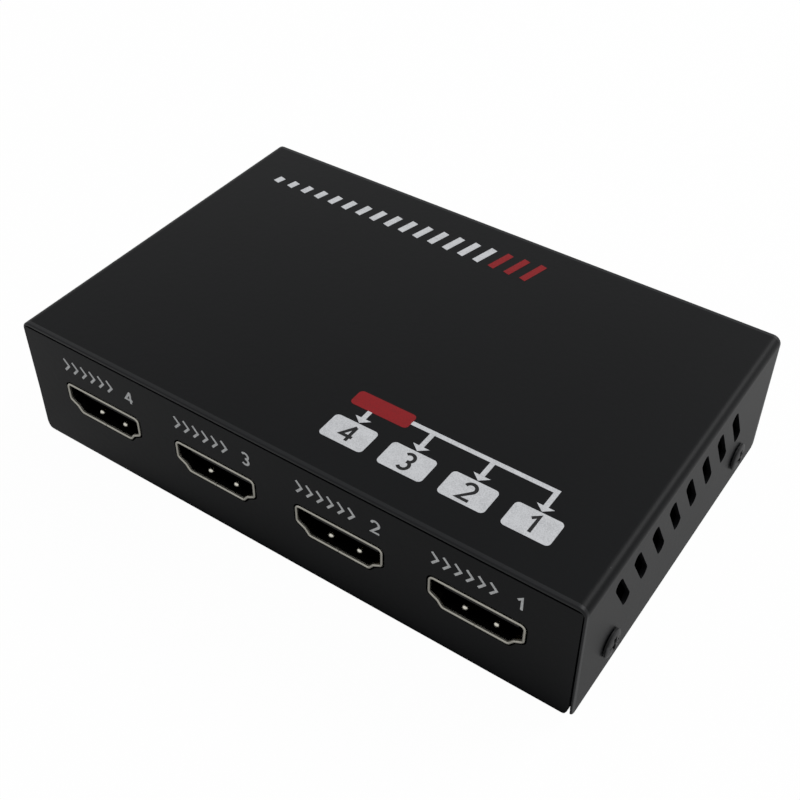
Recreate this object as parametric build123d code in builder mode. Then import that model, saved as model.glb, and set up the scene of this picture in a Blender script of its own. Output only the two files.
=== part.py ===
"""One-to-four video splitter: a bent steel case, its circuit board and its sockets.

Millimetres. +X runs across the four outputs, +Y from the output panel to the rear
panel, +Z is up. The origin is on the table, under the middle of the case.
"""
import os

from build123d import *

# Case, seen from outside
case_w = 96.0
case_d = 62.0
case_h = 22.65
sheet_t = 0.7
cover_bend_r = 1.4
tray_bend_r = 1.2
cut_overrun = 1.0

# Tray: floor, full-width front and rear panels, low side flanges
panel_side_inset = 0.45
panel_top_gap = 0.1
panel_corner_r = 2.4
flange_gap = 0.15
flange_h = 9.5
corner_relief_l = 1.8

# Cover: one sheet over the top and down both sides, between the panels
cover_end_gap = 0.05
cover_end_lean = 0.6
cover_hem_gap = 0.33

# Slanted vents in both sides of the cover
vent_count = 8
vent_w = 2.0
vent_centre_l = 7.0
vent_pitch = 5.25
vent_tilt_deg = 30.0
vent_first = 11.3
vent_height = 14.9

# Side screws, and the drawn collars of the tray that they bite into
side_screw_r = 1.5
side_screw_l = 4.0
side_screw_hole_gap = 0.2
side_screw_head_r = 2.5
side_screw_head_h = 0.8
side_screw_chamfer = 0.4
side_screw_inset = 10.3
side_screw_height = 5.8
thread_gap = 0.05
collar_r = 2.4
collar_h = 1.2

# Rubber feet
foot_r = 4.0
foot_h = 1.5
foot_chamfer = 0.4
foot_inset_x = 10.0
foot_inset_y = 9.5

# Video sockets: inner outline of the metal shell
socket_pitch = 22.0
socket_count = 4
socket_height = 11.5
socket_gap = 0.35
input_inset = 42.0
shell_in_w = 14.0
shell_in_h = 4.55
shell_side_h = 2.8
shell_foot_w = 9.95
shell_top_r = 0.5
shell_side_r = 0.45
shell_step_r = 0.7
shell_foot_r = 0.35
shell_step_in_share = 0.64
shell_step_down_share = 0.44
shell_t = 0.3
shell_l = 11.0
shell_proud = 0.15
shell_seam_w = 0.12
spring_pitch = 4.9
spring_depth = 2.45
spring_dimple_r = 0.75
spring_dimple_h = 0.35
spring_dimple_slope_deg = 50.0
spring_dimple_sides = 8
leg_w = 1.5
leg_drop = 2.4
leg_first = 3.6
leg_pitch = 5.2
leg_slot_gap = 0.25

# Socket insulator: a block at the back of the shell, with the tongue in front
block_depth = 8.0
block_gap = 0.25
block_back_gap = 0.3
tongue_w = 11.4
tongue_t = 1.2
tongue_rise = 0.15
tongue_tip = 1.5
tongue_chamfer = 0.3

# Socket contacts: two staggered rows on the tongue, tails on the board
contact_count = 19
contact_pitch = 0.5
contact_w = 0.3
contact_t = 0.15
contact_setback = 0.5
contact_slot_gap = 0.1
tail_out = 0.35
tail_foot = 0.4

# Circuit board on four riveted spacers
board_t = 1.6
board_side_gap = 2.95
board_end_gap = 0.8
board_corner_r = 1.0
spacer_r = 2.6
spacer_rivet_r = 2.0
spacer_side_inset = 4.0
spacer_front_inset = 18.0
spacer_rear_inset = 7.0
board_screw_r = 1.5
board_screw_l = 5.0
board_screw_head_r = 2.75
board_screw_head_h = 1.7
board_hole_gap = 0.2
spacer_bore_floor = 0.4

# Power jack for a 5.5 mm barrel plug with a 2.1 mm pin
jack_inset = 19.0
jack_w = 9.0
jack_h = 11.0
jack_plate_l = 3.4
jack_l = 14.2
jack_axis_h = 6.5
jack_barrel_r = 4.0
jack_bore_r = 3.15
jack_bore_l = 9.6
jack_panel_gap = 0.1
jack_hole_r = 4.0
jack_pin_r = 1.0
jack_pin_chamfer = 0.4
jack_pin_setback = 1.3
jack_pin_shank_r = 1.3
jack_channel_w = 2.8
jack_floor_t = 1.1
leaf_w = 2.0
leaf_t = 0.3
leaf_anchor_drop = 4.4
leaf_peak_drop = 2.45
leaf_tip_drop = 4.2
leaf_start = 1.6
leaf_peak = 6.3
leaf_fall = 8.3
leaf_end = 9.2
switch_rise = 0.3
switch_start = 8.6
switch_post = 10.3
terminal_w = 2.4
terminal_drop = 3.2
terminal_slot_gap = 0.25

# Indicator lamps along the rear panel
led_count = 5
led_pitch = 4.0
led_first_inset = 14.0
led_r = 1.5
led_l = 4.6
led_chamfer = 0.7
led_hole_gap = 0.15
led_height = 11.5
led_lead_w = 0.5
led_lead_pitch = 2.54
led_lead_back = 1.6
led_lead_drop = 2.2

# Splitter chip and its heat sink, at the middle of the board
chip_w = 14.0
chip_h = 1.2
chip_chamfer = 0.3
chip_front = 33.0
pad_w = 13.0
pad_t = 0.3
sink_w = 20.0
sink_base_t = 1.6
sink_h = 7.0
sink_fin_count = 7
sink_fin_t = 1.0

# Parts of the 5 V to 3.3 V supply, beside the power jack
inductor_w = 6.0
inductor_h = 2.8
inductor_corner_r = 1.2
inductor_core_r = 2.1
inductor_core_h = 0.3
inductor_to_jack = 9.0
inductor_front = 48.0
converter_w = 4.9
converter_d = 3.9
converter_h = 1.5
converter_to_jack = 1.0
converter_rear = 22.0
regulator_w = 6.5
regulator_d = 3.5
regulator_h = 1.6
regulator_to_jack = 9.0
regulator_front = 33.0
regulator_pitch = 8.0
regulator_count = 2
can_r = 3.15
can_h = 5.4
can_base_w = 6.6
can_base_h = 0.9
can_base_corner = 1.2
can_side_inset = 5.5
can_pitch = 9.0
can_count = 3

# Small parts of the signal side
crystal_w = 11.0
crystal_d = 4.6
crystal_h = 3.6
crystal_x = -20.0
crystal_front = 44.0
memory_w = 4.9
memory_d = 3.9
memory_h = 1.5
memory_x = -20.0
memory_front = 30.0
memory_pitch = 8.0
memory_count = 2
guard_w = 5.0
guard_d = 3.0
guard_h = 0.9
guard_gap = 0.6
chip_cap_w = 1.6
chip_cap_d = 0.8
chip_cap_h = 0.8
chip_cap_front = 23.5
chip_cap_pitch = 2.6
chip_cap_count = 4
resistor_h = 0.45
resistor_front = 19.0
part_chamfer = 0.2

# Places worked out from the sizes above
case_z = foot_h
front_y = -case_d / 2
rear_y = case_d / 2
panel_w = case_w - 2 * panel_side_inset
panel_h = case_h - sheet_t - panel_top_gap
flange_w = case_w - 2 * (sheet_t + flange_gap)
flange_l = case_d - 2 * (tray_bend_r + corner_relief_l)
floor_w = flange_w - 2 * tray_bend_r
cover_d = case_d - 2 * (sheet_t + cover_end_gap)
shell_out_h = shell_in_h + 2 * shell_t
board_top = case_z + socket_height - shell_out_h / 2
board_bottom = board_top - board_t
board_w = flange_w - 2 * (sheet_t + board_side_gap)
board_d = case_d - 2 * (sheet_t + board_end_gap)
floor_top = case_z + sheet_t
spacer_h = board_bottom - floor_top
input_x = input_inset - case_w / 2
jack_x = case_w / 2 - jack_inset
jack_axis_z = board_top + jack_axis_h
output_xs = [(i - (socket_count - 1) / 2) * socket_pitch for i in range(socket_count)]

case_plane = Plane.XY.offset(case_z)
board_plane = Plane.XY.offset(board_top)
spacer_ys = (front_y + spacer_front_inset, rear_y - spacer_rear_inset)
spacer_places = [
    (side * (board_w / 2 - spacer_side_inset), y) for side in (-1, 1) for y in spacer_ys
]
side_screw_places = [
    (y, case_z + side_screw_height)
    for y in (front_y + side_screw_inset, rear_y - side_screw_inset)
]
led_places = [led_first_inset - case_w / 2 + i * led_pitch for i in range(led_count)]


def front_mouth(x):
    """Plane of an output's rim: x across the panel, y up, z out of the case."""
    return Plane((x, front_y - shell_proud, case_z + socket_height), (1, 0, 0), (0, -1, 0))


def rear_mouth(x, height, proud):
    """Plane on the rear panel: y up, z out of the case."""
    return Plane((x, rear_y + proud, height), (-1, 0, 0), (0, 1, 0))


def side_of(mouth):
    """Section plane through a mouth's middle: x into the case, y up."""
    return Plane(mouth.origin, -mouth.z_dir, mouth.x_dir)


socket_mouths = {f"output_{socket_count - i}": front_mouth(x) for i, x in enumerate(output_xs)}
socket_mouths["input"] = rear_mouth(input_x, case_z + socket_height, shell_proud)
jack_mouth = rear_mouth(jack_x, jack_axis_z, -(sheet_t + jack_panel_gap))

nodes = []


def keep(piece, name):
    """Give a finished piece its name and remember it for the export."""
    piece.label = name
    nodes.append(piece)
    return piece


def socket_outline(grow, rounded=True):
    """The socket's opening, wide side up, grown evenly by a wall or a gap."""
    half_w, half_h = shell_in_w / 2, shell_in_h / 2
    side_end = half_h - shell_side_h
    run_in = half_w - shell_foot_w / 2
    run_down = side_end + half_h
    step = (half_w - shell_step_in_share * run_in, side_end - shell_step_down_share * run_down)
    right = [(half_w, half_h), (half_w, side_end), step, (shell_foot_w / 2, -half_h)]
    left = [(-x, y) for x, y in reversed(right)]
    with BuildSketch() as outline:
        with BuildLine():
            Polyline(*right, *left, close=True)
        make_face()
        if rounded:
            for height, corner_r in (
                (half_h, shell_top_r), (side_end, shell_side_r), (step[1], shell_step_r),
                (-half_h, shell_foot_r),
            ):
                fillet(outline.vertices().filter_by_position(Axis.Y, height, height), corner_r)
        if grow:
            kind = Kind.ARC if rounded else Kind.INTERSECTION
            offset(amount=grow, kind=kind, mode=Mode.REPLACE)
    return outline.sketch


def bent_sheet(half_w, low, high, radius):
    """Face of a sheet bent up (or down) at both ends, drawn on its outer surface."""
    with BuildSketch() as sheet:
        with BuildLine():
            FilletPolyline(
                (-half_w, high), (-half_w, low), (half_w, low), (half_w, high), radius=radius
            )
            offset(amount=sheet_t, side=Side.LEFT if high > low else Side.RIGHT)
        make_face()
    return sheet.sketch


# Base tray
with BuildPart() as base_tray:
    with BuildSketch(Plane.YZ):
        add(bent_sheet(case_d / 2, case_z, case_z + panel_h, tray_bend_r))
    extrude(amount=panel_w / 2, both=True)
    # the floor is narrower than the panels, so that the cover passes outside it
    with BuildSketch(case_plane):
        with Locations((-panel_w / 2, 0), (panel_w / 2, 0)):
            Rectangle(panel_w - floor_w, case_d - 2 * tray_bend_r)
    extrude(amount=sheet_t, mode=Mode.SUBTRACT)
    with BuildSketch(Plane.XZ):
        add(bent_sheet(flange_w / 2, case_z, case_z + flange_h, tray_bend_r))
    extrude(amount=flange_l / 2, both=True)
    # lower corners of both panels, rounded through the bends
    for panel_y, inwards in ((front_y, 1), (rear_y, -1)):
        with BuildSketch(Plane.XZ.offset(-panel_y)):
            with Locations((-panel_w / 2, case_z), (panel_w / 2, case_z)):
                Rectangle(2 * panel_corner_r, 2 * panel_corner_r)
            with Locations(
                (panel_corner_r - panel_w / 2, case_z + panel_corner_r),
                (panel_w / 2 - panel_corner_r, case_z + panel_corner_r),
            ):
                Circle(panel_corner_r, mode=Mode.SUBTRACT)
        extrude(amount=-inwards * tray_bend_r, mode=Mode.SUBTRACT)
    # socket openings in both panels
    for mouth in socket_mouths.values():
        with BuildSketch(mouth):
            add(socket_outline(shell_t + socket_gap))
        extrude(amount=-(shell_proud + sheet_t + cut_overrun), mode=Mode.SUBTRACT)
    # power jack and lamp holes in the rear panel
    with BuildSketch(Plane.XZ.offset(-rear_y)):
        with Locations((jack_x, jack_axis_z)):
            Circle(jack_hole_r)
        with Locations(*[(x, case_z + led_height) for x in led_places]):
            Circle(led_r + led_hole_gap)
    extrude(amount=sheet_t + cut_overrun, mode=Mode.SUBTRACT)
    # collars drawn inwards from the side flanges, tapped for the cover screws
    for side in (-1, 1):
        flange_face = Plane(
            (side * (flange_w / 2 - sheet_t), 0, 0), (0, -side, 0), (-side, 0, 0)
        )
        with BuildSketch(flange_face):
            with Locations(*[(-side * y, z) for y, z in side_screw_places]):
                Circle(collar_r)
        extrude(amount=collar_h)
    with BuildSketch(Plane.YZ):
        with Locations(*side_screw_places):
            Circle(side_screw_r + thread_gap)
    extrude(amount=case_w / 2, both=True, mode=Mode.SUBTRACT)
    # holes in the floor that the spacers are riveted into
    with BuildSketch(case_plane):
        with Locations(*spacer_places):
            Circle(spacer_rivet_r)
    extrude(amount=sheet_t, mode=Mode.SUBTRACT)
keep(base_tray.part, "base_tray")


# Top cover
with BuildPart() as top_cover:
    with BuildSketch(Plane.XZ):
        add(bent_sheet(case_w / 2, case_z + case_h, case_z + cover_hem_gap, cover_bend_r))
    extrude(amount=cover_d / 2, both=True)
    # the ends of both sides fall back a little towards the bottom
    with BuildSketch(Plane.YZ):
        for end in (-1, 1):
            with BuildLine():
                Polyline(
                    (end * cover_d / 2, case_z + panel_h),
                    (end * (cover_d / 2 - cover_end_lean), case_z + cover_hem_gap),
                    (end * (cover_d / 2 - cover_end_lean), case_z),
                    (end * case_d / 2, case_z),
                    close=True,
                )
            make_face()
    extrude(amount=case_w, both=True, mode=Mode.SUBTRACT)
    with BuildSketch(Plane.YZ):
        for i in range(vent_count):
            with Locations((front_y + vent_first + i * vent_pitch, case_z + vent_height)):
                SlotCenterToCenter(vent_centre_l, vent_w, rotation=90 + vent_tilt_deg)
        with Locations(*side_screw_places):
            Circle(side_screw_r + side_screw_hole_gap)
    extrude(amount=case_w, both=True, mode=Mode.SUBTRACT)
keep(top_cover.part, "top_cover")


# Side screws: shank through the cover into the tray's collars, low round head outside
with BuildPart() as cover_screws:
    for side in (-1, 1):
        head_plane = Plane((side * case_w / 2, 0, 0), (0, side, 0), (side, 0, 0))
        with BuildSketch(head_plane):
            with Locations(*[(side * y, z) for y, z in side_screw_places]):
                Circle(side_screw_head_r)
        extrude(amount=side_screw_head_h)
        outer_rims = cover_screws.edges().group_by(Axis.X)[-1 if side > 0 else 0]
        chamfer(outer_rims, side_screw_chamfer)
        with BuildSketch(head_plane):
            with Locations(*[(side * y, z) for y, z in side_screw_places]):
                Circle(side_screw_r)
        extrude(amount=-side_screw_l)
keep(cover_screws.part, "cover_screws")


# Rubber feet
with BuildPart() as rubber_feet:
    with BuildSketch():
        with GridLocations(case_w - 2 * foot_inset_x, case_d - 2 * foot_inset_y, 2, 2):
            Circle(foot_r)
    extrude(amount=foot_h)
    chamfer(rubber_feet.edges().group_by(Axis.Z)[0], foot_chamfer)
keep(rubber_feet.part, "rubber_feet")


# Board spacers: a rivet neck in the floor, a threaded bore open at the top
with BuildPart() as board_spacers:
    with BuildSketch(case_plane):
        with Locations(*spacer_places):
            Circle(spacer_rivet_r)
    extrude(amount=sheet_t)
    with BuildSketch(Plane.XY.offset(floor_top)):
        with Locations(*spacer_places):
            RegularPolygon(spacer_r, 6, major_radius=False)
    extrude(amount=spacer_h)
    with BuildSketch(Plane.XY.offset(board_bottom)):
        with Locations(*spacer_places):
            Circle(board_screw_r + thread_gap)
    extrude(amount=-(spacer_h - spacer_bore_floor), mode=Mode.SUBTRACT)
keep(board_spacers.part, "board_spacers")


# Board screws
with BuildPart() as board_screws:
    with BuildSketch(board_plane):
        with Locations(*spacer_places):
            Circle(board_screw_head_r)
    extrude(amount=board_screw_head_h)
    with BuildSketch(board_plane):
        with Locations(*spacer_places):
            Circle(board_screw_r)
    extrude(amount=-board_screw_l)
keep(board_screws.part, "board_screws")


# Circuit board
with BuildPart() as main_board:
    with BuildSketch(board_plane):
        RectangleRounded(board_w, board_d, board_corner_r)
        with Locations(*spacer_places):
            Circle(board_screw_r + board_hole_gap, mode=Mode.SUBTRACT)
        # slots for the legs of the socket shells
        for mouth in socket_mouths.values():
            inwards = -mouth.z_dir.Y
            for depth in (leg_first, leg_first + leg_pitch):
                for side in (-1, 1):
                    leg_x = mouth.origin.X + side * (shell_in_w + shell_t) / 2
                    with Locations((leg_x, mouth.origin.Y + inwards * depth)):
                        Rectangle(
                            shell_t + 2 * leg_slot_gap, leg_w + 2 * leg_slot_gap,
                            mode=Mode.SUBTRACT,
                        )
        # slots for the jack's three terminals
        for depth in (leaf_start, switch_post, jack_l):
            with Locations((jack_x, jack_mouth.origin.Y - depth - leaf_t / 2)):
                Rectangle(
                    terminal_w + 2 * terminal_slot_gap, leaf_t + 2 * terminal_slot_gap,
                    mode=Mode.SUBTRACT,
                )
        # holes for the lamps' leads
        for x in led_places:
            for side in (-1, 1):
                with Locations((x + side * led_lead_pitch / 2, rear_y - led_l - led_lead_back)):
                    Rectangle(2 * led_lead_w, 2 * led_lead_w, mode=Mode.SUBTRACT)
    extrude(amount=-board_t)
keep(main_board.part, "main_board")


def socket_shell(mouth):
    """Folded metal shell: drawn outline, legs through the board, two spring dimples."""
    bottom = -shell_in_h / 2
    with BuildPart() as shell:
        with BuildSketch(mouth):
            add(socket_outline(shell_t))
            add(socket_outline(0), mode=Mode.SUBTRACT)
        extrude(amount=-shell_l)
        # legs continue the straight sides down through the board
        for depth in (leg_first, leg_first + leg_pitch):
            with BuildSketch(mouth.offset(-(depth - leg_w / 2))):
                for side in (-1, 1):
                    with Locations((side * (shell_in_w + shell_t) / 2, 0)):
                        Rectangle(
                            shell_t, leg_drop + shell_out_h / 2, align=(Align.CENTER, Align.MAX)
                        )
            extrude(amount=-leg_w)
        # dimples of the two springs stand up from the bottom wall
        with BuildSketch(Plane(mouth.from_local_coords((0, bottom, -spring_depth)))):
            with GridLocations(spring_pitch, 0, 2, 1):
                RegularPolygon(spring_dimple_r, spring_dimple_sides)
        extrude(amount=spring_dimple_h, taper=spring_dimple_slope_deg)
        # seam where the folded ends meet
        with BuildSketch(mouth):
            with Locations((0, bottom - shell_t / 2)):
                Rectangle(shell_seam_w, 2 * shell_t)
        extrude(amount=-shell_l, mode=Mode.SUBTRACT)
    return shell.part


def socket_contacts(mouth):
    """Nineteen stamped contacts: along the tongue, out at the back, down onto the board."""
    with BuildPart() as contacts:
        for i in range(contact_count):
            row = 1 if i % 2 == 0 else -1
            on_tongue = tongue_rise + row * tongue_t / 2
            low, high = sorted((on_tongue, on_tongue + row * contact_t))
            board = -shell_out_h / 2
            tail_in = shell_l + tail_out
            tail = tail_in + tail_foot
            with BuildSketch(side_of(mouth).offset((i - contact_count // 2) * contact_pitch)):
                with BuildLine():
                    Polyline(
                        (tongue_tip + contact_setback, high),
                        (tail, high),
                        (tail, board),
                        (tail_in, board),
                        (tail_in, low),
                        (tongue_tip + contact_setback, low),
                        close=True,
                    )
                make_face()
            extrude(amount=contact_w / 2, both=True)
    return contacts.part


def socket_insulator(mouth):
    """Block that closes the back of the shell, with the contacts' tongue in front.

    The block's gap lets its square corners clear the shell's bends.
    """
    row_w = (contact_count - 1) * contact_pitch + contact_w + 2 * contact_slot_gap
    with BuildPart() as insulator:
        with BuildSketch(mouth.offset(-block_depth)):
            add(socket_outline(-block_gap, rounded=False))
        extrude(amount=-(shell_l - block_depth - block_back_gap))
        with BuildSketch(side_of(mouth)):
            with BuildLine():
                Polyline(
                    (block_depth, tongue_rise - tongue_t / 2),
                    (tongue_tip + tongue_chamfer, tongue_rise - tongue_t / 2),
                    (tongue_tip, tongue_rise - tongue_t / 2 + tongue_chamfer),
                    (tongue_tip, tongue_rise + tongue_t / 2 - tongue_chamfer),
                    (tongue_tip + tongue_chamfer, tongue_rise + tongue_t / 2),
                    (block_depth, tongue_rise + tongue_t / 2),
                    close=True,
                )
            make_face()
        extrude(amount=tongue_w / 2, both=True)
        # one thin slot through the block for each row of contacts
        for row in (-1, 1):
            with BuildSketch(mouth.offset(-block_depth)):
                with Locations((0, tongue_rise + row * (tongue_t + contact_t) / 2)):
                    Rectangle(row_w, contact_t)
            extrude(amount=-shell_l, mode=Mode.SUBTRACT)
    return insulator.part


for socket_name, socket_mouth in socket_mouths.items():
    keep(socket_shell(socket_mouth), f"{socket_name}_shell")
    keep(socket_insulator(socket_mouth), f"{socket_name}_insulator")
    keep(socket_contacts(socket_mouth), f"{socket_name}_contacts")


# Power jack body: square front plate, round-topped barrel, channel for the leaf
jack_section = side_of(jack_mouth)
with BuildPart() as dc_jack_body:
    with BuildSketch(jack_mouth):
        with Locations((0, jack_h / 2 - jack_axis_h)):
            Rectangle(jack_w, jack_h)
    extrude(amount=-jack_plate_l)
    with BuildSketch(jack_mouth.offset(-jack_plate_l)):
        Circle(jack_barrel_r)
        Rectangle(2 * jack_barrel_r, jack_axis_h, align=(Align.CENTER, Align.MAX))
    extrude(amount=-(jack_l - jack_plate_l))
    with BuildSketch(jack_mouth):
        Circle(jack_bore_r)
    extrude(amount=-jack_bore_l, mode=Mode.SUBTRACT)
    with BuildSketch(jack_section):
        with Locations((leaf_start - leaf_t, jack_floor_t - jack_axis_h)):
            Rectangle(
                switch_post - leaf_start + 3 * leaf_t, jack_axis_h - jack_floor_t,
                align=(Align.MIN, Align.MIN),
            )
    extrude(amount=jack_channel_w / 2, both=True, mode=Mode.SUBTRACT)
    # outlets in the floor for the two sprung terminals, and the hole for the pin's shank
    with BuildSketch(Plane.XY.offset(board_top)):
        for post in (leaf_start, switch_post):
            with Locations((jack_x, jack_mouth.origin.Y - post - leaf_t / 2)):
                Rectangle(terminal_w + 2 * thread_gap, leaf_t + 2 * thread_gap)
    extrude(amount=jack_axis_h - leaf_anchor_drop, mode=Mode.SUBTRACT)
    with BuildSketch(jack_mouth.offset(-jack_bore_l)):
        Circle(jack_pin_shank_r)
    extrude(amount=-jack_l, mode=Mode.SUBTRACT)
keep(dc_jack_body.part, "dc_jack_body")


# Centre pin: free end in the bore, thicker shank in the body, terminal riveted behind
with BuildPart() as dc_jack_pin:
    with BuildSketch(jack_mouth.offset(-jack_pin_setback)):
        Circle(jack_pin_r)
    extrude(amount=-(jack_bore_l - jack_pin_setback))
    chamfer(dc_jack_pin.edges().group_by(Axis.Y)[-1], jack_pin_chamfer)
    with BuildSketch(jack_mouth.offset(-jack_bore_l)):
        Circle(jack_pin_shank_r)
    extrude(amount=-(jack_l - jack_bore_l))
    with BuildSketch(jack_mouth.offset(-jack_l)):
        with Locations((0, jack_pin_r)):
            Rectangle(
                terminal_w, jack_pin_r + jack_axis_h + terminal_drop,
                align=(Align.CENTER, Align.MAX),
            )
    extrude(amount=-leaf_t)
keep(dc_jack_pin.part, "dc_jack_pin")


# Leaf that presses on the plug's sleeve
with BuildPart() as dc_jack_leaf:
    with BuildSketch(jack_section):
        with BuildLine():
            Polyline(
                (leaf_start, -jack_axis_h - terminal_drop),
                (leaf_start, -leaf_anchor_drop),
                (leaf_peak, -leaf_peak_drop),
                (leaf_fall, -leaf_tip_drop),
                (leaf_end, -leaf_tip_drop),
            )
            offset(amount=leaf_t, side=Side.RIGHT)
        make_face()
    extrude(amount=leaf_w / 2, both=True)
keep(dc_jack_leaf.part, "dc_jack_leaf")


# Switch contact that the leaf's tip rests under when no plug is in
with BuildPart() as dc_jack_switch:
    with BuildSketch(jack_section):
        with BuildLine():
            Polyline(
                (switch_start, switch_rise - leaf_tip_drop),
                (switch_post, switch_rise - leaf_tip_drop),
                (switch_post, -jack_axis_h - terminal_drop),
            )
            offset(amount=leaf_t, side=Side.LEFT)
        make_face()
    extrude(amount=leaf_w / 2, both=True)
keep(dc_jack_switch.part, "dc_jack_switch")


def lamp(x):
    """Lamp on its side, its bevelled end flush with the panel's outer face."""
    with BuildPart() as lens:
        with BuildSketch(rear_mouth(x, case_z + led_height, 0)):
            Circle(led_r)
        extrude(amount=-led_l)
        chamfer(lens.edges().group_by(Axis.Y)[-1], led_chamfer)
    return lens.part


with BuildPart() as power_led:
    add(lamp(led_places[0]))
keep(power_led.part, "power_led")

with BuildPart() as channel_leds:
    for lamp_x in led_places[1:]:
        add(lamp(lamp_x))
keep(channel_leds.part, "channel_leds")

with BuildPart() as led_leads:
    for lamp_x in led_places:
        for lead_side in (-1, 1):
            lead_plane = side_of(
                rear_mouth(lamp_x + lead_side * led_lead_pitch / 2, case_z + led_height, 0)
            )
            lead_end = board_bottom - led_lead_drop - case_z - led_height
            with BuildSketch(lead_plane):
                with BuildLine():
                    Polyline(
                        (led_l, led_lead_w / 2),
                        (led_l + led_lead_back + led_lead_w / 2, led_lead_w / 2),
                        (led_l + led_lead_back + led_lead_w / 2, lead_end),
                        (led_l + led_lead_back - led_lead_w / 2, lead_end),
                        (led_l + led_lead_back - led_lead_w / 2, -led_lead_w / 2),
                        (led_l, -led_lead_w / 2),
                        close=True,
                    )
                make_face()
            extrude(amount=led_lead_w / 2, both=True)
keep(led_leads.part, "led_leads")


# Splitter chip, its pad and its heat sink
chip_y = front_y + chip_front
with BuildPart() as splitter_chip:
    with BuildSketch(board_plane):
        with Locations((0, chip_y)):
            Rectangle(chip_w, chip_w)
    extrude(amount=chip_h)
    chamfer(splitter_chip.edges().group_by(Axis.Z)[-1], chip_chamfer)
keep(splitter_chip.part, "splitter_chip")

with BuildPart() as thermal_pad:
    with BuildSketch(board_plane.offset(chip_h)):
        with Locations((0, chip_y)):
            Rectangle(pad_w, pad_w)
    extrude(amount=pad_t)
keep(thermal_pad.part, "thermal_pad")

with BuildPart() as heat_sink:
    with BuildSketch(board_plane.offset(chip_h + pad_t)):
        with Locations((0, chip_y)):
            Rectangle(sink_w, sink_w)
    extrude(amount=sink_base_t)
    with BuildSketch(board_plane.offset(chip_h + pad_t + sink_base_t)):
        with Locations((0, chip_y)):
            with GridLocations((sink_w - sink_fin_t) / (sink_fin_count - 1), 0, sink_fin_count, 1):
                Rectangle(sink_fin_t, sink_w)
    extrude(amount=sink_h - sink_base_t)
keep(heat_sink.part, "heat_sink")


def flat_packages(places, width, depth, height):
    """Moulded packages of one size, standing on the board at the given places."""
    with BuildPart() as packages:
        with BuildSketch(board_plane):
            with Locations(*places):
                Rectangle(width, depth)
        extrude(amount=height)
        chamfer(packages.edges().group_by(Axis.Z)[-1], part_chamfer)
    return packages.part


# Supply parts
with BuildPart() as power_inductor:
    inductor_place = (jack_x - inductor_to_jack, front_y + inductor_front)
    with BuildSketch(board_plane):
        with Locations(inductor_place):
            RectangleRounded(inductor_w, inductor_w, inductor_corner_r)
    extrude(amount=inductor_h)
    with BuildSketch(board_plane.offset(inductor_h)):
        with Locations(inductor_place):
            Circle(inductor_core_r)
    extrude(amount=inductor_core_h)
keep(power_inductor.part, "power_inductor")

converter_places = [(jack_x - converter_to_jack, rear_y - converter_rear)]
keep(
    flat_packages(converter_places, converter_w, converter_d, converter_h), "power_converter"
)

regulator_places = [
    (jack_x - regulator_to_jack, front_y + regulator_front + i * regulator_pitch)
    for i in range(regulator_count)
]
keep(flat_packages(regulator_places, regulator_w, regulator_d, regulator_h), "voltage_regulators")

# the row of capacitors stands midway between the two spacers on its side
can_places = [
    (board_w / 2 - can_side_inset, sum(spacer_ys) / 2 + (i - (can_count - 1) / 2) * can_pitch)
    for i in range(can_count)
]
with BuildPart() as capacitor_bases:
    with BuildSketch(board_plane):
        with Locations(*can_places):
            Rectangle(can_base_w, can_base_w)
    extrude(amount=can_base_h)
    chamfer(
        capacitor_bases.edges().filter_by(Axis.Z).group_by(Axis.X)[-1], can_base_corner
    )
keep(capacitor_bases.part, "capacitor_bases")

with BuildPart() as capacitor_cans:
    with BuildSketch(board_plane.offset(can_base_h)):
        with Locations(*can_places):
            Circle(can_r)
    extrude(amount=can_h)
keep(capacitor_cans.part, "capacitor_cans")


# Signal parts
with BuildPart() as crystal:
    with BuildSketch(board_plane):
        with Locations((crystal_x, front_y + crystal_front)):
            SlotOverall(crystal_w, crystal_d)
    extrude(amount=crystal_h)
keep(crystal.part, "crystal")

memory_places = [
    (memory_x, front_y + memory_front + i * memory_pitch) for i in range(memory_count)
]
keep(flat_packages(memory_places, memory_w, memory_d, memory_h), "memory_chips")

# the guards sit right behind the sockets' contacts
guard_y = front_y - shell_proud + shell_l + tail_out + tail_foot + guard_gap + guard_d / 2
guard_places = [(x, guard_y) for x in output_xs]
keep(flat_packages(guard_places, guard_w, guard_d, guard_h), "surge_guards")

# capacitors and resistors stand in short rows behind the two middle outputs
chip_cap_places, resistor_places = (
    [
        (x + (i - (chip_cap_count - 1) / 2) * chip_cap_pitch, front_y + row_front)
        for x in output_xs[1:-1]
        for i in range(chip_cap_count)
    ]
    for row_front in (chip_cap_front, resistor_front)
)
with BuildPart() as ceramic_capacitors:
    with BuildSketch(board_plane):
        with Locations(*chip_cap_places):
            Rectangle(chip_cap_d, chip_cap_w)
    extrude(amount=chip_cap_h)
keep(ceramic_capacitors.part, "ceramic_capacitors")

with BuildPart() as resistors:
    with BuildSketch(board_plane):
        with Locations(*resistor_places):
            Rectangle(chip_cap_d, chip_cap_w)
    extrude(amount=resistor_h)
keep(resistors.part, "resistors")


os.makedirs("parts", exist_ok=True)
for node in nodes:
    export_step(node, f"parts/{node.label}.step")
print(len(nodes), "pieces written")
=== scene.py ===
import math

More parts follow.
